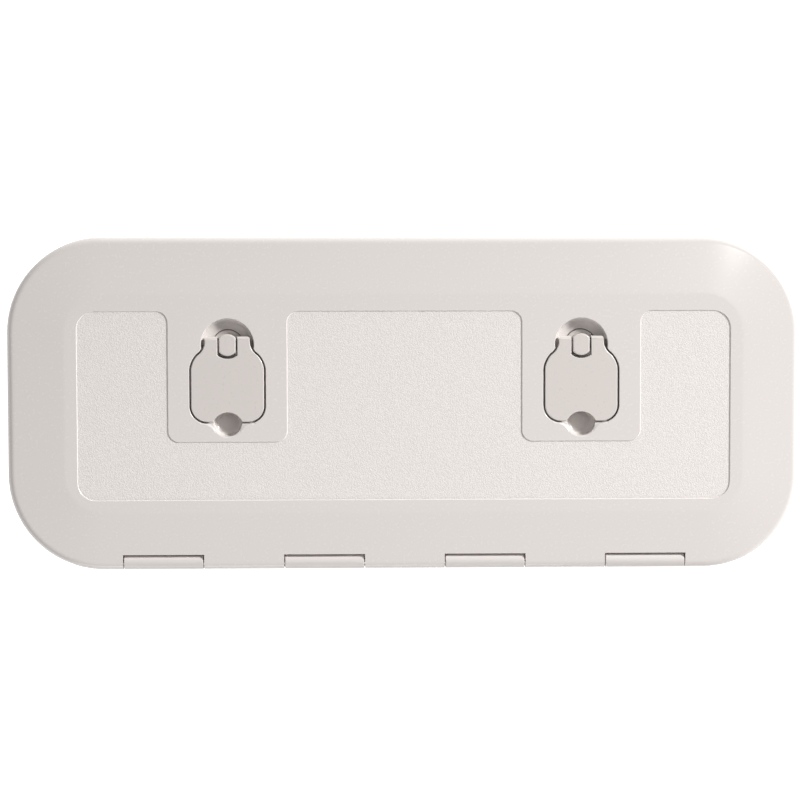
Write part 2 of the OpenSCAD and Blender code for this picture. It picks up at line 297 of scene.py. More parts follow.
def glossMaterial(name, colour, rough):
    material, nodes, links, shader = newMaterial(name, colour, rough[0])
    addTone(nodes, links, shader, colour, drift=0.01, size=420, rough=rough)
    noiseBump(nodes, links, shader, scale=900, height=0.0015 * mm)
    shader.inputs["Coat Weight"].default_value = 0.25
    shader.inputs["Coat Roughness"].default_value = 0.12
    return material


def pebbleMaterial(name):
    # close field of small raised grains, matt
    colour = (0.825, 0.782, 0.755)
    material, nodes, links, shader = newMaterial(name, colour, 0.6)
    moulding = addTone(nodes, links, shader, colour, drift=0.02, size=200, rough=(0.5, 0.68))
    place = nodes.new("ShaderNodeTexCoord")
    grains = nodes.new("ShaderNodeTexVoronoi")
    grains.feature = "SMOOTH_F1"
    grains.inputs["Scale"].default_value = 1250
    grains.inputs["Smoothness"].default_value = 0.6
    links.new(place.outputs["Object"], grains.inputs["Vector"])
    uneven = nodes.new("ShaderNodeTexNoise")
    uneven.inputs["Scale"].default_value = 1500
    uneven.inputs["Detail"].default_value = 2
    links.new(place.outputs["Object"], uneven.inputs["Vector"])
    blend = nodes.new("ShaderNodeMath")
    blend.operation = "SUBTRACT"
    links.new(uneven.outputs["Fac"], blend.inputs[0])
    links.new(grains.outputs["Distance"], blend.inputs[1])
    bump = nodes.new("ShaderNodeBump")
    bump.inputs["Strength"].default_value = 1
    bump.inputs["Distance"].default_value = 0.15 * mm
    links.new(blend.outputs["Value"], bump.inputs["Height"])
    links.new(bump.outputs["Normal"], shader.inputs["Normal"])
    # the valleys between the grains are made darker
    valley = nodes.new("ShaderNodeMapRange")
    valley.inputs["From Min"].default_value = -0.1
    valley.inputs["From Max"].default_value = 0.3
    valley.inputs["To Min"].default_value = 0.3
    valley.inputs["To Max"].default_value = 0.0
    links.new(blend.outputs["Value"], valley.inputs["Value"])
    valleyDarker = nodes.new("ShaderNodeMix")
    valleyDarker.data_type = "RGBA"
    valleyDarker.blend_type = "MULTIPLY"
    valleyDarker.inputs["B"].default_value = (0.62, 0.6, 0.58, 1)
    links.new(valley.outputs["Result"], valleyDarker.inputs["Factor"])
    links.new(moulding.outputs["Colour"], valleyDarker.inputs["A"])
    links.new(valleyDarker.outputs["Result"], shader.inputs["Base Color"])
    return material


def rubberMaterial(name):
    colour = (0.035, 0.035, 0.037)
    material, nodes, links, shader = newMaterial(name, colour, 0.7)
    addTone(nodes, links, shader, colour, drift=0.3, size=30, rough=(0.55, 0.8))
    noiseBump(nodes, links, shader, scale=1500, height=0.03 * mm)
    return material


def nylonMaterial(name):
    colour = (0.05, 0.05, 0.053)
    material, nodes, links, shader = newMaterial(name, colour, 0.5)
    addTone(nodes, links, shader, colour, drift=0.25, size=40, rough=(0.38, 0.55))
    noiseBump(nodes, links, shader, scale=900, height=0.04 * mm)
    return material


def steelMaterial(name, colour):
    # drawn or turned stainless: fine lines, long one way
    material, nodes, links, shader = newMaterial(name, colour, 0.3, 1.0)
    addTone(nodes, links, shader, colour, drift=0.2, size=60, rough=(0.22, 0.38))
    place = nodes.new("ShaderNodeTexCoord")
    stretch = nodes.new("ShaderNodeMapping")
    stretch.inputs["Scale"].default_value = (1, 12, 12)
    links.new(place.outputs["Object"], stretch.inputs["Vector"])
    lines = nodes.new("ShaderNodeTexNoise")
    lines.inputs["Scale"].default_value = 220
    lines.inputs["Detail"].default_value = 4
    links.new(stretch.outputs["Vector"], lines.inputs["Vector"])
    bump = nodes.new("ShaderNodeBump")
    bump.inputs["Distance"].default_value = 0.01 * mm
    links.new(lines.outputs["Fac"], bump.inputs["Height"])
    links.new(bump.outputs["Normal"], shader.inputs["Normal"])
    return material


lidGloss = glossMaterial("lid gloss", (0.72, 0.676, 0.65), (0.25, 0.28))
latchGloss = glossMaterial("latch gloss", (0.662, 0.616, 0.586), (0.27, 0.3))
frameSatin = glossMaterial("frame satin", (0.68, 0.638, 0.612), (0.36, 0.42))
pebble = pebbleMaterial("pebble grain")
# darker plastic for the pocket floors and the narrow gaps round the handles and barrels: painted shade
# where these gaps fall into shadow
pocketPaintedShade = glossMaterial("pocket satin", (0.3, 0.28, 0.265), (0.4, 0.55))
rubber = rubberMaterial("seal rubber")
nylon = nylonMaterial("cam nylon")
steel = steelMaterial("stainless steel", (0.62, 0.61, 0.59))
dullSteel = steelMaterial("dull pin steel", (0.16, 0.155, 0.15))
print("materials ready")


lidSet = {
    "cornerRadius": 72.5 * mm,
    "skirtZ": 3.4 * mm,
    "skirtStep": 0.4 * mm,
    "rollSteps": 8,
    "borderWidth": 43.5 * mm,
    "borderLoop": 1 * mm,
    "borderDrop": 0.02 * mm,
    "edgeDrop": 2 * mm,
    "wall": 3.2 * mm,
    "underZ": 10.2 * mm,
    "cavityCurve": ((0.6 * mm, 9 * mm), (2 * mm, 9.9 * mm)),
    "cavityFlat": 4 * mm,
    "cavityBack": 3 * mm,
    "panelSize": (493.8 * mm, 142.7 * mm),
    "panelMiddleY": -1.55 * mm,
    "panelCorner": 13.5 * mm,
    "panelDepth": 0.7 * mm,
    "panelEdge": 0.45 * mm,
    "panelFoot": (0.15 * mm, 0.12 * mm),
    "padWidth": 90 * mm,
    "padReach": 73.3 * mm,
    "padCorner": 8.5 * mm,
    "cupWall": 2.2 * mm,
    "cupFoot": ((0, 8.6 * mm), (0.25 * mm, 8.2 * mm), (0.6 * mm, 8 * mm)),
    "pocketZ": 10.5 * mm,
    "pocketGap": 1.3 * mm,
    "pocketEdge": 0.5 * mm,
    "pocketFoot": ((0, 0.8 * mm), (0.25 * mm, 0.25 * mm), (0.8 * mm, 0)),
    "boreRadius": 11.95 * mm,
    "boreZ": 5.0 * mm,
    "boreTop": 7 * mm,
    "bowlRadius": 20 * mm,
    "bowlCurve": 8.5 * mm,
    "bowlCup": (21.5 * mm, 4.8 * mm),
    "dishRim": 11 * mm,
    "dishZ": 5 * mm,
    "dishRound": 5 * mm,
    "dishFlat": 1.5 * mm,
    "dishCup": (13 * mm, 2.8 * mm),
    "cupRound": ((0, 1.2 * mm), (0.35 * mm, 0.35 * mm), (1.2 * mm, 0)),
    "softRim": ((0, -0.05 * mm), (0.3 * mm, 0.08 * mm)),
    "dishSlope": 1.4 * mm,
    "dishEdge": ((1.1 * mm, 0.35 * mm), (1.35 * mm, 0.8 * mm)),
    "flareEdge": ((1.4 * mm, 0.6 * mm), (2.1 * mm, 0.95 * mm)),
    "flareStart": -50 * mm,
    "flareSpan": 42 * mm,
    "flareTop": -60 * mm,
    "flareCorner": 12.8 * mm,
    "flareFoot": (9.67 * mm, -66.5 * mm),
    "flareRound": 6 * mm,
    "seatBore": (8.3 * mm, 3 * mm),
    "spindleBore": (6.06 * mm, -8 * mm),
    "bossRadius": 13 * mm,
    "bossZ": -4.5 * mm,
    "bossEdge": 0.5 * mm,
    "root": 0.2 * mm,
    "channelZ": 7.2 * mm,
    "channelCutZ": 6 * mm,
    "ribWidth": 2.4 * mm,
    "ribsAcross": (-200 * mm, -67 * mm, 0, 67 * mm, 200 * mm),
    "ribsAlong": (-50 * mm, -12 * mm),
    "ribLevels": ((0, 9 * mm), (0.4 * mm, 6.8 * mm)),
    "ribShort": 10 * mm,
    "rodHole": (2.06 * mm, 223 * mm),
    "knuckles": (-61 * mm, 61 * mm, -183 * mm, 183 * mm),
    "knuckleGap": 61.5 * mm,
    "knuckleBack": 0.5 * mm,
    "knuckleDepth": 20 * mm,
    "trimBack": 0.3 * mm,
    "trimDepth": 30 * mm,
    "sealMiddle": (530.5 * mm, 182.5 * mm),
    "sealWidth": 8 * mm,
    "sealCorner": 38.25 * mm,
    "floorReach": 0.02 * mm,
    "boreGap": (0.3 * mm, -0.05 * mm, 1.3 * mm),
    "pocketGapTop": 1.1 * mm,
    "pocketGapReach": (17.5 * mm, 66 * mm),
    "pocketGapBack": 4 * mm,
    "dishReach": 14 * mm,
}
rollRadius = topZ - lidSet["edgeDrop"] - hingeZ
handleSet = {
    "half": 27.5 * mm,
    "neckHalf": 17 * mm,
    "reach": 58 * mm,
    "endY": 6.5 * mm,
    "neckY": -3.5 * mm,
    "neckRound": 5.5 * mm,
    "shoulderY": -11.375 * mm,
    "shoulderRound": 7.625 * mm,
    "endCorner": 12 * mm,
    "slant": 53.13,
    "thickness": 3.5 * mm,
    "edge": 0.7 * mm,
    "armCorner": 2.2 * mm,
    "taper": 4.6 * mm,
    "slotHalf": 7.55 * mm,
    "slotArcY": 1.6 * mm,
    "slotArc": 12 * mm,
    "slotEdge": 0.5 * mm,
    "notchY": -63 * mm,
    "notchRadius": 12.07 * mm,
    "cutLow": 5 * mm,
    "pinY": 4 * mm,
    "pinZ": 12.5 * mm,
    "pinHole": (1.26 * mm, 14.3 * mm),
    "eyeGap": 0.03 * mm,
    "armGap": 0.04 * mm,
    "edgeStep": 0.3 * mm,
    "slotOpen": 14 * mm,
    "slotReach": 0.1 * mm,
}


def lidOutline(name, inside, z, steps=20):
    size = (lidHigh.x * 2 - 2 * inside, lidHigh.y * 2 - 2 * inside)
    return plate(name, size, (0, 0), z, lidSet["cornerRadius"] - inside, steps)


def handleOutline(name, spot, grow, z, endY):
    # the handle's outline, grown by a gap for its pocket
    h = handleSet
    low = -h["reach"] - grow
    obj = plate(name, (2 * (h["half"] + grow), endY - low), (spot[0], spot[1] + (low + endY) / 2), z)
    slope = 0.5 * grow  # where two offset edges meet moves along the slant by half of the gap
    neckY = spot[1] + h["neckY"] + slope
    shoulderY = spot[1] + h["shoulderY"] + slope
    for y in (neckY, shoulderY):
        edit(obj)
        bpy.ops.mesh.bisect(plane_co=(0, y, z), plane_no=(0, 1, 0))
        done()
    pick(obj, "VERT", lambda v: v.co.y > neckY - tiny)
    bpy.ops.transform.resize(value=((h["neckHalf"] + grow) / (h["half"] + grow), 1, 1),
                             center_override=(spot[0], 0, 0))
    done()
    edit(obj)
    bpy.ops.mesh.dissolve_limited(angle_limit=math.radians(1))
    done()
    tan = math.tan(math.radians(h["slant"] / 2))
    roundCorners(obj, h["neckRound"] - grow * tan, lambda v: abs(v.co.y - neckY) < tiny, 8)
    roundCorners(obj, h["shoulderRound"] + grow * tan, lambda v: abs(v.co.y - shoulderY) < tiny, 10)
    roundCorners(obj, h["endCorner"] + grow, lambda v: v.co.y < spot[1] + low + tiny, 12)
    return obj


def lidBody():
    s = lidSet
    obj = lidOutline("lid_shell", 0, s["skirtZ"])
    levels = [(0, s["skirtZ"]), (0, s["skirtZ"] + s["skirtStep"]), (0, hingeZ)]
    for i in range(1, s["rollSteps"] + 1):
        a = math.pi / 2 * i / s["rollSteps"]
        levels.append((rollRadius * (1 - math.cos(a)), hingeZ + rollRadius * math.sin(a)))
    edgeTop = hingeZ + rollRadius
    rise = (topZ - edgeTop) / (s["borderWidth"] - rollRadius)
    border, loop = s["borderWidth"], s["borderLoop"]
    for inside in (rollRadius + loop, border - 3 * loop, border - loop):
        levels.append((inside, edgeTop + rise * (inside - rollRadius)))
    build(obj, levels + [(border, topZ - s["borderDrop"]), (border + loop, topZ)])
    cavity = lidOutline("cavity", s["wall"], -past)
    build(cavity, [(0, -past), (0, hingeZ), *s["cavityCurve"], (s["cavityFlat"], s["underZ"])])
    edit(cavity)
    bpy.ops.mesh.bisect(plane_co=(0, hingeY + rollRadius + s["cavityBack"], 0), plane_no=(0, 1, 0),
                        use_fill=True, clear_inner=True)
    done()
    return combine(obj, cavity)


def sealRing(name, grow, low, high, inward=0):
    s = lidSet
    w = s["sealWidth"]
    out = plate(name, (s["sealMiddle"][0] + w + 2 * grow, s["sealMiddle"][1] + w + 2 * grow), (0, 0), low,
                s["sealCorner"] + w / 2 + grow, 16)
    build(out, [(0, low), (0, high)])
    hole = plate("hole", (s["sealMiddle"][0] - w - 2 * inward, s["sealMiddle"][1] - w - 2 * inward), (0, 0),
                 low - past, s["sealCorner"] - w / 2 - inward, 16)
    build(hole, [(0, low - past), (0, high + past)])
    return combine(out, hole)


def underside():
    # what stands below the lid's plate: seal channel, stiffeners, and a cup and boss under each latch
    s, h = lidSet, handleSet
    root = s["underZ"] + s["root"]
    wall = s["cupWall"]
    whole = sealRing("under", wall, s["channelZ"], root, wall)
    combine(whole, sealRing("channel", 0, s["channelCutZ"], root + past, 0))
    lengthX, lengthY = [length - s["ribShort"] for length in s["sealMiddle"]]
    ribs = [((s["ribWidth"], lengthY), (x, 0)) for x in s["ribsAcross"]]
    ribs += [((lengthX, s["ribWidth"]), (0, y)) for y in s["ribsAlong"]]
    for size, middle in ribs:
        rib = plate("rib", size, middle, root)
        combine(whole, build(rib, [(0, root), *s["ribLevels"]]), "UNION")
    for spot in latches.values():
        cup = handleOutline("cup", spot, s["pocketGap"] + wall, root, h["endY"])
        build(cup, [(0, root), *s["cupFoot"]])
        combine(whole, cup, "UNION")
        for (radius, low), y in ((s["bowlCup"], 0), (s["dishCup"], -h["reach"])):
            pot = disc("pot", radius, (spot[0], spot[1] + y), root)
            build(pot, [(0, root)] + [(inside, low + z) for inside, z in s["cupRound"]])
            combine(whole, pot, "UNION")
        boss = disc("boss", s["bossRadius"], (spot[0], spot[1]), root)
        build(boss, [(0, root), (0, s["bossZ"] + s["bossEdge"]), (s["bossEdge"], s["bossZ"])])
        combine(whole, boss, "UNION")
    return whole


def panelCutter():
    s = lidSet
    wide, levels = mouth(s["panelEdge"], topZ)
    floor = topZ - s["panelDepth"]
    halfX, halfY = s["panelSize"][0] / 2 + wide, s["panelSize"][1] / 2 + wide
    obj = plate("panel", (2 * halfX, 2 * halfY), (0, s["panelMiddleY"]), cutTop)
    padEnd = latches["left"][1] - s["padReach"] + wide
    sides = [spot[0] + k * (s["padWidth"] / 2 - wide) for spot in latches.values() for k in (-1, 1)]
    for x in sides:
        edit(obj)
        bpy.ops.mesh.bisect(plane_co=(x, 0, 0), plane_no=(1, 0, 0))
        done()
    edit(obj)
    bpy.ops.mesh.bisect(plane_co=(0, padEnd, 0), plane_no=(0, 1, 0))
    done()

    def onPad(f):
        c = f.calc_center_median()
        return c.y > padEnd and any(abs(c.x - spot[0]) < s["padWidth"] / 2 for spot in latches.values())

    pick(obj, "FACE", onPad)
    bpy.ops.mesh.delete(type="FACE")
    done()
    edit(obj)
    bpy.ops.mesh.dissolve_limited(angle_limit=math.radians(1))
    done()
    high = s["panelMiddleY"] + halfY
    roundCorners(obj, s["padCorner"] - wide, lambda v: abs(v.co.y - padEnd) < tiny, 10)
    roundCorners(obj, s["padCorner"] + wide,
                 lambda v: abs(v.co.y - high) < tiny and abs(v.co.x) < halfX - past, 10)
    roundCorners(obj, s["panelCorner"] + wide, lambda v: abs(abs(v.co.x) - halfX) < tiny, 12)
    footX, footZ = s["panelFoot"]
    return build(obj, levels + [(wide, floor + footZ), (wide + footX, floor)])


def sunk(*pairs):
    # levels from pairs of (distance inside, depth below the lid's top)
    return [(inside, topZ - deep) for inside, deep in pairs]


def flare(spot):
    # a shallow bell that leads from the handle's end into the dish
    s = lidSet
    footX, footY = s["flareFoot"]
    low, high = spot[1] + footY, spot[1] + s["flareStart"]
    obj = plate("flare", (s["flareSpan"], high - low), (spot[0], (low + high) / 2), cutTop)
    edge = spot[1] + s["flareTop"]
    edit(obj)
    bpy.ops.mesh.bisect(plane_co=(0, edge, 0), plane_no=(0, 1, 0))
    done()
    for k in (-1, 1):
        # the part below the line narrows to the dish
        edit(obj)
        bpy.ops.mesh.bisect(plane_co=(spot[0] + k * s["flareCorner"], 0, 0), plane_no=(1, 0, 0))
        done()
    pick(obj, "FACE", lambda f: f.calc_center_median().y < edge
         and abs(f.calc_center_median().x - spot[0]) > s["flareCorner"])
    bpy.ops.mesh.delete(type="FACE")
    done()
    pick(obj, "VERT", lambda v: v.co.y < low + tiny)
    bpy.ops.transform.resize(value=(footX / s["flareCorner"], 1, 1), center_override=(spot[0], 0, 0))
    done()
    edit(obj)
    bpy.ops.mesh.dissolve_limited(angle_limit=math.radians(1))
    done()
    roundCorners(obj, s["flareRound"], lambda v: abs(v.co.y - edge) < tiny
                 and abs(v.co.x - spot[0]) < s["flareCorner"] + 10 * tiny, 12)
    return build(obj, [(0, cutTop)] + sunk(*s["softRim"], *s["flareEdge"]))


def latchCutters():
    s, h = lidSet, handleSet
    cutters = []
    for spot in latches.values():
        wide, levels = mouth(s["pocketEdge"], topZ)
        pocket = handleOutline("pocket", spot, s["pocketGap"] + wide, cutTop, h["pinY"])
        build(pocket, levels + [(wide + x, s["pocketZ"] + z) for x, z in s["pocketFoot"]])
        cutters.append(pocket)
        bowl = disc("bowl", s["bowlRadius"] + wide, (spot[0], spot[1]), cutTop, 96)
        curve = []
        for i in range(1, 13):
            a = math.pi / 2 * i / 12
            curve.append((wide + s["bowlCurve"] * (1 - math.cos(a)), topZ - s["bowlCurve"] * math.sin(a)))
        build(bowl, levels[:-1] + curve)
        cutters.append(bowl)
        foot = (spot[0], spot[1] - h["reach"])
        rim = s["dishSlope"]
        cutters.append(flare(spot))
        dish = disc("dish", s["dishRim"] + rim, foot, cutTop, 72)
        curve = s["dishRound"]
        levels = [(0, cutTop)] + sunk(*s["softRim"], *s["dishEdge"])
        for angle in range(0, 91, 10):
            a = math.radians(angle)
            levels.append((rim + curve * (1 - math.cos(a)), s["dishZ"] + curve * (1 - math.sin(a))))
        levels.append((s["dishRim"] + rim - s["dishFlat"], s["dishZ"]))
        cutters.append(build(dish, levels))
        for radius, low in ((s["boreRadius"], s["boreZ"]), s["seatBore"], s["spindleBore"]):
            bore = disc("bore", radius, (spot[0], spot[1]), s["boreTop"])
            cutters.append(build(bore, [(0, s["boreTop"]), (0, low)]))
    return cutters


def hingeCutters():
    s = lidSet
    cutters = []
    deep = s["knuckleDepth"]
    y = hingeY + rollRadius + s["knuckleBack"] - deep / 2
    for x in s["knuckles"]:
        gap = plate("gap", (s["knuckleGap"], deep), (x, y), cutTop)
        cutters.append(build(gap, [(0, cutTop), (0, -2 * past)]))
    return cutters


def alongX(name, radius, x0, x1, y, z, steps=48):
    bpy.ops.mesh.primitive_cylinder_add(vertices=steps, radius=radius, depth=x1 - x0,
                                        location=((x0 + x1) / 2, y, z), rotation=(0, math.pi / 2, 0))
    obj = bpy.context.active_object
    obj.name = name
    bpy.ops.object.transform_apply(location=True, rotation=True, scale=True)
    return obj


def useSlot(obj, slot):
    obj.active_material_index = slot
    bpy.ops.object.material_slot_assign()
    done()


def inGap(face):
    # the narrow spaces round a handle and its barrel, under the eased edge; their faces get the darker
    # material, painted shade
    s, c = lidSet, face.calc_center_median()
    wide, low, high = s["boreGap"]
    near, far = s["pocketGapReach"]
    upright = abs(face.normal.z) < 0.85 and s["pocketZ"] < c.z < topZ - s["pocketGapTop"]
    for spot in latches.values():
        away = math.hypot(c.x - spot[0], c.y - spot[1])
        toDish = math.hypot(c.x - spot[0], c.y - spot[1] + handleSet["reach"])
        if away < s["boreRadius"] + wide and s["boreZ"] + low < c.z < s["boreZ"] + high:
            return True
        if (upright and near < away < far and toDish > s["dishReach"]
                and c.y < spot[1] + s["pocketGapBack"]):
            return True
    return False


def makeLid():
    s = lidSet
    obj = lidBody()
    combine(obj, underside(), "UNION")
    combine(obj, sealRing("groove", 0, 0, s["underZ"]))
    combine(obj, panelCutter())
    for cutter in latchCutters() + hingeCutters():
        combine(obj, cutter)
    # the hinge edge is cut back to round beads, bored for the rod
    reach = lidHigh.x + 20 * past
    deep = s["trimDepth"]
    y = hingeY + rollRadius + s["trimBack"] - deep / 2
    trim = plate("trim", (reach + lidHigh.x, deep), (0, y), -2 * past)
    build(trim, [(0, -2 * past), (0, hingeZ)])
    combine(trim, alongX("bead", rollRadius, -reach, reach, hingeY, hingeZ))
    combine(obj, trim)
    radius, end = s["rodHole"]
    combine(obj, alongX("rodHole", radius, -reach, end, hingeY, hingeZ))
    clean(obj)
    finishPiece(obj, [lidGloss, pebble, pocketPaintedShade], "lid", ["lid"])
    # slot 1 is the panel's grain; slot 2 darkens the pocket floors and the gap faces as painted shade
    for slot, floor in ((1, topZ - s["panelDepth"]), (2, s["pocketZ"])):
        pick(obj, "FACE", lambda f: f.normal.z > 0.99
             and abs(f.calc_center_median().z - floor) < s["floorReach"])
        useSlot(obj, slot)
    pick(obj, "FACE", inGap)
    useSlot(obj, 2)
    smooth(obj)
    print("lid", len(obj.data.polygons))


makeLid()


def makeHandle(side):
    h = handleSet
    spot = latches[side]
    low = topZ - h["thickness"]
    widest = topZ - h["edge"]
    under = widest - h["edgeStep"]
    endY = h["pinY"] + h["edge"]
    obj = handleOutline("handle_" + side + "_grip", spot, 0, under, endY)
    levels = [(0, under), (0, widest)]
    for angle in (18, 36, 54, 72, 90):
        a = math.radians(angle)
        levels.append((h["edge"] * (1 - math.cos(a)), widest + h["edge"] * math.sin(a)))
    build(obj, levels)
    # the sides draw in towards the underside
    pick(obj, "FACE", lambda f: f.normal.z < -0.9)
    for part in (0.2, 0.8):
        bpy.ops.mesh.inset(thickness=h["taper"] * part, depth=(under - low) * part)
    done()
    pin = (spot[1] + h["pinY"], h["pinZ"])
    eye = topZ - h["pinZ"] - h["eyeGap"]
    for k in (-1, 1):
        x0, x1 = sorted(spot[0] + k * x for x in (h["slotHalf"] - past, h["neckHalf"] - h["armGap"]))
        combine(obj, alongX("knuckle", eye, x0, x1, *pin), "UNION")
    for k in (-1, 1):
        # round the arm's outer corner
        r = h["armCorner"]
        middle = (spot[0] + k * (h["neckHalf"] - r), pin[0] + eye - r)
        low, high = h["cutLow"], topZ + 3 * past
        corner = plate("corner", (3 * r, 3 * r), (middle[0] + k * 1.5 * r, middle[1] + 1.5 * r), low)
        build(corner, [(0, low), (0, high)])
        arc = disc("arc", r, middle, low - past, 40)
        combine(corner, build(arc, [(0, low - past), (0, high + past)]))
        combine(obj, corner)
    wide, opened = mouth(h["slotEdge"], topZ)
    arcY = spot[1] + h["slotArcY"]
    slot = disc("slot", h["slotArc"] + wide, (spot[0], arcY), cutTop)
    for co, no in (((0, arcY, 0), (0, 1, 0)),
                   ((spot[0] + h["slotHalf"] + wide, 0, 0), (1, 0, 0)),
                   ((spot[0] - h["slotHalf"] - wide, 0, 0), (-1, 0, 0))):
        edit(slot)
        bpy.ops.mesh.bisect(plane_co=co, plane_no=no, clear_outer=True)
        done()
    pick(slot, "VERT", lambda v: v.co.y > arcY - h["slotReach"])
    bpy.ops.transform.translate(value=(0, h["slotOpen"], 0))
    done()
    notch = disc("notch", h["notchRadius"] + wide, (spot[0], spot[1] + h["notchY"]), cutTop)
    for cutter in (slot, notch):
        combine(obj, build(cutter, opened + [(wide, h["cutLow"])]))
    radius, half = h["pinHole"]
    combine(obj, alongX("pinHole", radius, spot[0] - half, spot[0] + half, *pin))
    clean(obj)
    finishPiece(obj, latchGloss, "handle_" + side, ["handle_" + side])
    smooth(obj)


barrelSet = {
    "flange": 11.3 * mm,
    "flangeLow": 5.0 * mm,
    "flangeTop": 6.5 * mm,
    "flangeEdge": 0.4 * mm,
    "post": 8.2 * mm,
    "flat": 6.4 * mm,
    "postTop": 14.68 * mm,
    "crown": 0.12 * mm,
    "crownFlat": 1.2 * mm,
    "flatEdge": 0.3 * mm,
    "seam": (1.5 * mm, 13.4 * mm),
    "seamHigh": 0.07 * mm,
    "spindle": 6 * mm,
    "spindleLow": -6.6 * mm,
    "square": 8.2 * mm,
    "squareCorner": 0.5 * mm,
    "squareLow": -12.4 * mm,
    "pinHole": (1.23 * mm, 9 * mm),
    "screwHole": (2.5 * mm, 12 * mm),
    "chamfer": 0.3 * mm,
    "root": 0.5 * mm,
    "edge": 0.6 * mm,
}


def makeBarrel(side):
    b = barrelSet
    spot = latches[side]
    e, chamfer = b["edge"], b["chamfer"]
    root = b["flangeLow"] + b["root"]
    obj = disc("latch_" + side + "_barrel", b["flange"], spot, b["flangeLow"], 96)
    build(obj, [(0, b["flangeLow"])] + eased(b["flangeTop"], b["flangeEdge"]))
    post = disc("post", b["post"], spot, root, 80)
    for k in (-1, 1):
        edit(post)
        bpy.ops.mesh.bisect(plane_co=(spot[0] + k * b["flat"], 0, 0), plane_no=(k, 0, 0), clear_outer=True)
        done()
    clean(post, b["flatEdge"])  # no very short edges beside the flats
    levels = [(0, root), (0, b["postTop"] - e)]
    for angle in (22.5, 45, 67.5, 85):
        a = math.radians(angle)
        levels.append((e * (1 - math.cos(a)), b["postTop"] - e * (1 - math.sin(a))))
    top = b["postTop"] + b["crown"]
    levels.append((b["crownFlat"], top))
    combine(obj, build(post, levels), "UNION")
    # the fine parting line across the post's crown
    seam = plate("seam", b["seam"], spot, top - past)
    build(seam, [(0, top - past), (0, top), (b["seam"][0] / 3, top + b["seamHigh"])])
    combine(obj, seam, "UNION")
    spindle = disc("spindle", b["spindle"], spot, root, 64)
    build(spindle, [(0, root), (0, b["spindleLow"] + chamfer), (chamfer, b["spindleLow"])])
    combine(obj, spindle, "UNION")
    high = b["spindleLow"] + past
    square = plate("square", (b["square"], b["square"]), spot, high, b["squareCorner"], 3)
    build(square, [(0, high), (0, b["squareLow"] + chamfer), (chamfer, b["squareLow"])])
    combine(obj, square, "UNION")
    radius, half = b["pinHole"]
    combine(obj, alongX("pinHole", radius, spot[0] - half, spot[0] + half,
                        spot[1] + handleSet["pinY"], handleSet["pinZ"]))
    radius, deep = b["screwHole"]
    low = b["squareLow"] - past
    combine(obj, build(disc("hole", radius, spot, low, 32), [(0, low), (0, low + deep)]))
    clean(obj)
    finishPiece(obj, latchGloss, "latch_" + side, ["barrel_" + side])
    smooth(obj)


def softCopy(node, name, width, material, body):
    # a small part: its own shape with softened edges
    obj = bpy.data.objects.new(name, frame["nodes"][node].data.copy())
    bpy.context.collection.objects.link(obj)
    clean(obj)
    edit(obj)
    bpy.ops.mesh.dissolve_limited(angle_limit=math.radians(2))
    done()
    if width:
        soften(obj, width)
    finishPiece(obj, material, body, [node])
    smooth(obj)


sealSet = {"low": 6.7 * mm, "high": 10.2 * mm, "round": 1.3 * mm, "step": 0.01 * mm}


def makeSeal():
    s, q = lidSet, sealSet
    w, r = s["sealWidth"], q["round"]
    obj = plate("lid_gasket", (s["sealMiddle"][0] + w, s["sealMiddle"][1] + w), (0, 0), q["high"],
                s["sealCorner"] + w / 2, 20)
    turns = [math.radians(a) for a in (22.5, 45, 67.5, 90)]
    build(obj, [(0, q["high"]), (0, q["low"] + r)] + [
        (r * (1 - math.cos(a)), q["low"] + r * (1 - math.sin(a))) for a in turns])
    hole = plate("hole", (s["sealMiddle"][0] - w + 2 * r, s["sealMiddle"][1] - w + 2 * r), (0, 0),
                 q["low"] - past, s["sealCorner"] - w / 2 + r, 20)
    build(hole, [(0, q["low"] - past), (0, q["low"] + q["step"])] + [
        (r * math.sin(a), q["low"] + r * (1 - math.cos(a))) for a in turns] + [(r, q["high"] + past)])
    combine(obj, hole)
    clean(obj)
    finishPiece(obj, rubber, "lid", ["lid_seal"])
    smooth(obj)
    print("seal ready")


frameSet = {
    "inset": 0.8 * mm,
    "flange": 3 * mm,
    "opening": (528 * mm, 180 * mm),
    "openingCorner": 37 * mm,
    "coaming": 3 * mm,
    "lip": 2.5 * mm,
    "lipTop": 6.5 * mm,
    "shelfZ": 1.5 * mm,
    "shelfDepth": 30 * mm,
    "shelfTop": 20 * mm,
    "root": 1 * mm,
    "knuckleHalf": 30 * mm,
    "knuckleEdge": 0.5 * mm,
    "blockShift": 0.05 * mm,
    "rodBore": 2.02 * mm,
    "keeperHalf": 18 * mm,
    "keeperOut": 7 * mm,
    "keeperTop": -5 * mm,
    "keeperThick": 3 * mm,
    "keeperEdge": 0.5 * mm,
    "keeperRoot": 1.5 * mm,
    "screws": [(215 * mm, 104 * mm), (72 * mm, 104 * mm), (282 * mm, 0)],
    "screwRadius": 2.25 * mm,
    "sinkRadius": 4.2 * mm,
    "sinkDepth": 1.5 * mm,
    "edge": 0.6 * mm,
}


def openingOutline(name, extra, z):
    f = frameSet
    return plate(name, (f["opening"][0] + 2 * extra, f["opening"][1] + 2 * extra), (0, 0), z,
                 f["openingCorner"] + extra, 20)


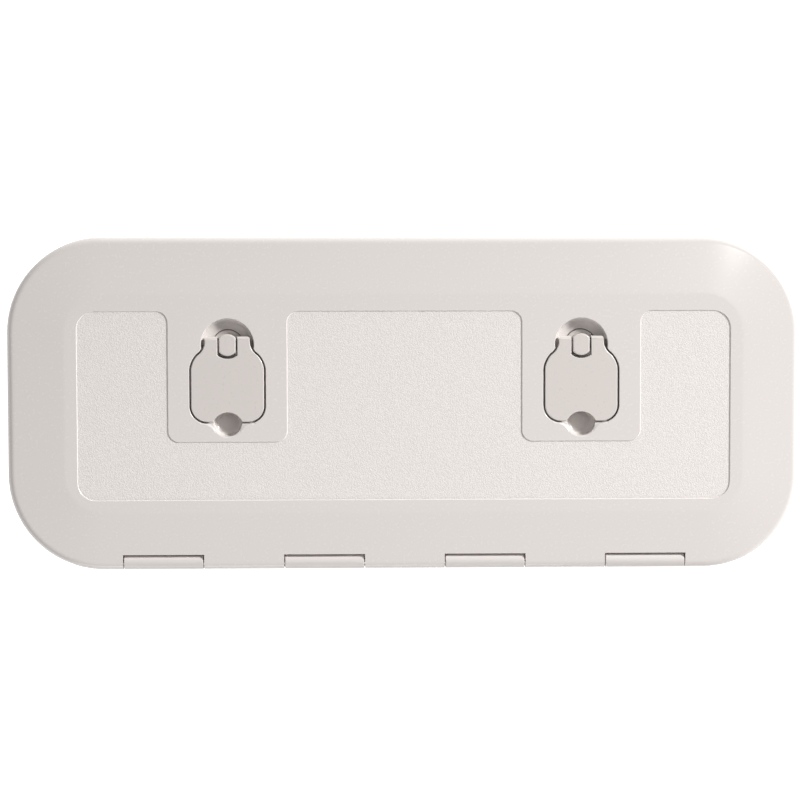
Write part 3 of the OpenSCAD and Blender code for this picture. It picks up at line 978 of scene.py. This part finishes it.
def makeFrame():
    f = frameSet
    e = f["edge"]
    obj = lidOutline("deck_frame", f["inset"], 0, 24)
    build(obj, [(0, 0)] + eased(f["flange"], e))
    root = f["root"]
    skirt = openingOutline("skirt", f["coaming"], root)
    combine(obj, build(skirt, [(0, root)] + eased(frameLow.z, e, -1)), "UNION")
    lip = openingOutline("lip", f["lip"], root)
    combine(obj, build(lip, [(0, root)] + eased(f["lipTop"], e)), "UNION")
    wide, opened = mouth(e, f["lipTop"])
    hole = openingOutline("opening", wide, opened[0][1])
    combine(obj, build(hole, opened + [(wide, frameLow.z - 5 * past)]))
    reach = lidHigh.x + 10 * past
    shelf = plate("shelf", (2 * reach, f["shelfDepth"]), (0, hingeY - f["shelfDepth"] / 2), f["shelfZ"])
    combine(obj, build(shelf, [(0, f["shelfZ"]), (0, f["shelfTop"])]))
    combine(obj, alongX("trough", hingeZ - f["shelfZ"], -reach, reach, hingeY, hingeZ, 64))
    for x in lidSet["knuckles"]:
        half = f["knuckleHalf"]
        size = (2 * half, 2 * rollRadius - f["knuckleEdge"])
        block = plate("block", size, (x, hingeY + f["blockShift"]), root)
        combine(obj, build(block, [(0, root), (0, hingeZ)]), "UNION")
        knuckle = alongX("knuckle", rollRadius, x - half, x + half, hingeY, hingeZ, 64)
        pick(knuckle, "FACE", lambda g: abs(g.normal.x) > 0.9)
        bpy.ops.mesh.bevel(offset=f["knuckleEdge"], segments=3, affect="EDGES")
        done()
        combine(obj, knuckle, "UNION")
    depth = f["keeperOut"] + f["keeperRoot"]
    y = f["opening"][1] / 2 - f["keeperOut"] + depth / 2
    low, high = f["keeperTop"] - f["keeperThick"], f["keeperTop"]
    for spot in latches.values():
        keeper = plate("keeper", (2 * f["keeperHalf"], depth), (spot[0], y), low)
        combine(obj, build(keeper, [(0, low)] + eased(high, f["keeperEdge"])), "UNION")
    combine(obj, alongX("rodBore", f["rodBore"], -lidHigh.x, lidHigh.x, hingeY, hingeZ, 32))
    sink, top = f["sinkRadius"] - f["screwRadius"], f["flange"]
    levels = [(0, top + past), (0, top), (sink, top - f["sinkDepth"]), (sink, -2 * past)]
    for x, y in f["screws"]:
        for kx in (-1, 1):
            for ky in ((-1, 1) if y else (1,)):
                hole = disc("screwHole", f["sinkRadius"], (kx * x, ky * y), top + past, 40)
                combine(obj, build(hole, levels))
    clean(obj)
    finishPiece(obj, frameSatin, "frame", ["frame"])
    smooth(obj)
    print("frame", len(obj.data.polygons))


softEdge = {"cam": 0.7 * mm, "screw": 0.25 * mm, "pin": 0.15 * mm, "washer": 0.15 * mm, "rod": 0.5 * mm}
for side in latches:
    makeHandle(side)
    makeBarrel(side)
    body = "latch_" + side
    softCopy("cam_" + side, "catch_cam_" + side, softEdge["cam"], nylon, body)
    softCopy("cam_screw_" + side, "cam_bolt_" + side, softEdge["screw"], steel, body)
    softCopy("handle_pin_" + side, "pivot_pin_" + side, softEdge["pin"], dullSteel, body)
    softCopy("flat_washer_" + side, "washer_" + side, softEdge["washer"], steel, body)
    softCopy("wave_washer_" + side, "spring_washer_" + side, 0, steel, body)
    softCopy("barrel_o_ring_" + side, "o_ring_" + side, 0, rubber, body)
softCopy("hinge_rod", "hinge_pin", softEdge["rod"], steel, "frame")
print("latches ready")
makeSeal()
makeFrame()


def makeStage():
    bpy.ops.mesh.primitive_plane_add(size=8, location=(0, 0, cadBox[0][2]))
    floor = bpy.context.active_object
    floor.name = "floor"
    material, nodes, links, shader = newMaterial("studio floor", (0.8, 0.8, 0.8), 0.8)
    shader.inputs["Emission Color"].default_value = (1, 1, 1, 1)
    # a lit white table, which throws less light on the piece than it shows
    path = nodes.new("ShaderNodeLightPath")
    glow = nodes.new("ShaderNodeMapRange")
    glow.inputs["To Min"].default_value = 0.5
    glow.inputs["To Max"].default_value = 0.9
    links.new(path.outputs["Is Camera Ray"], glow.inputs["Value"])
    links.new(glow.outputs["Result"], shader.inputs["Emission Strength"])
    floor.data.materials.append(material)


def aim(name, lamp, spot, target):
    obj = bpy.data.objects.new(name, lamp)
    bpy.context.collection.objects.link(obj)
    obj.location = spot
    obj.rotation_euler = (Vector(target) - Vector(spot)).to_track_quat("-Z", "Y").to_euler()


def areaLight(name, spot, size, power, target):
    lamp = bpy.data.lights.new(name, "AREA")
    lamp.shape = "RECTANGLE"
    lamp.size, lamp.size_y = size
    lamp.energy = power
    aim(name, lamp, spot, target)


def spotLight(name, spot, radius, power, target):
    lamp = bpy.data.lights.new(name, "SPOT")
    lamp.shadow_soft_size = radius
    lamp.energy = power
    lamp.spot_size = math.radians(34)
    lamp.spot_blend = 1.0
    aim(name, lamp, spot, target)


lightSet = {
    "key": {"spot": (3.24, 1.87, 1.91), "radius": 0.4, "power": 1040, "target": (0, -0.35, 0.25)},
    "front": {"spot": (-0.4, -2.3, 0.8), "size": (1.6, 0.6), "power": 14, "target": (0, 0, 0)},
    "glint": {"spot": (0.60, 0.33, 1.45), "size": (0.08, 0.08), "power": 0.9, "target": (0.25, 0.1, 0)},
}


def makeLight():
    world = bpy.data.worlds.new("studio")
    bpy.context.scene.world = world
    world.use_nodes = True
    nodes, links = world.node_tree.nodes, world.node_tree.links
    sky = nodes["Background"]
    where = nodes.new("ShaderNodeTexCoord")
    height = nodes.new("ShaderNodeSeparateXYZ")
    links.new(where.outputs["Generated"], height.inputs[0])
    fade = nodes.new("ShaderNodeMapRange")  # bright walls, dim ceiling
    fade.inputs["From Min"].default_value = 0.0
    fade.inputs["From Max"].default_value = 0.95
    fade.inputs["To Min"].default_value = 0.9
    fade.inputs["To Max"].default_value = 0.14
    links.new(height.outputs["Z"], fade.inputs["Value"])
    path = nodes.new("ShaderNodeLightPath")
    white = nodes.new("ShaderNodeMix")
    links.new(path.outputs["Is Camera Ray"], white.inputs["Factor"])
    links.new(fade.outputs["Result"], white.inputs["A"])
    white.inputs["B"].default_value = 1.0
    links.new(white.outputs["Result"], sky.inputs["Strength"])
    sky.inputs["Color"].default_value = (1, 1, 1, 1)
    spotLight("key", **lightSet["key"])
    for name in ("front", "glint"):
        areaLight(name, **lightSet[name])
    bpy.context.scene.view_settings.view_transform = "Standard"


cameraSet = {
    "distance": 1.5,
    "fullWidth": 0.6045,
    "target": (-0.0036, 0.0026),
    "tilt": (-2.9, -1.3, -0.12),
}


def makeCamera():
    c = cameraSet
    view = bpy.data.cameras.new("camera")
    view.lens = view.sensor_width * c["distance"] / c["fullWidth"]
    obj = bpy.data.objects.new("camera", view)
    bpy.context.collection.objects.link(obj)
    obj.rotation_euler = [math.radians(a) for a in c["tilt"]]
    target = Vector((*c["target"], topZ))
    obj.location = target + obj.rotation_euler.to_matrix() @ Vector((0, 0, c["distance"]))
    bpy.context.scene.camera = obj


makeStage()
makeLight()
makeCamera()
print("stage ready")
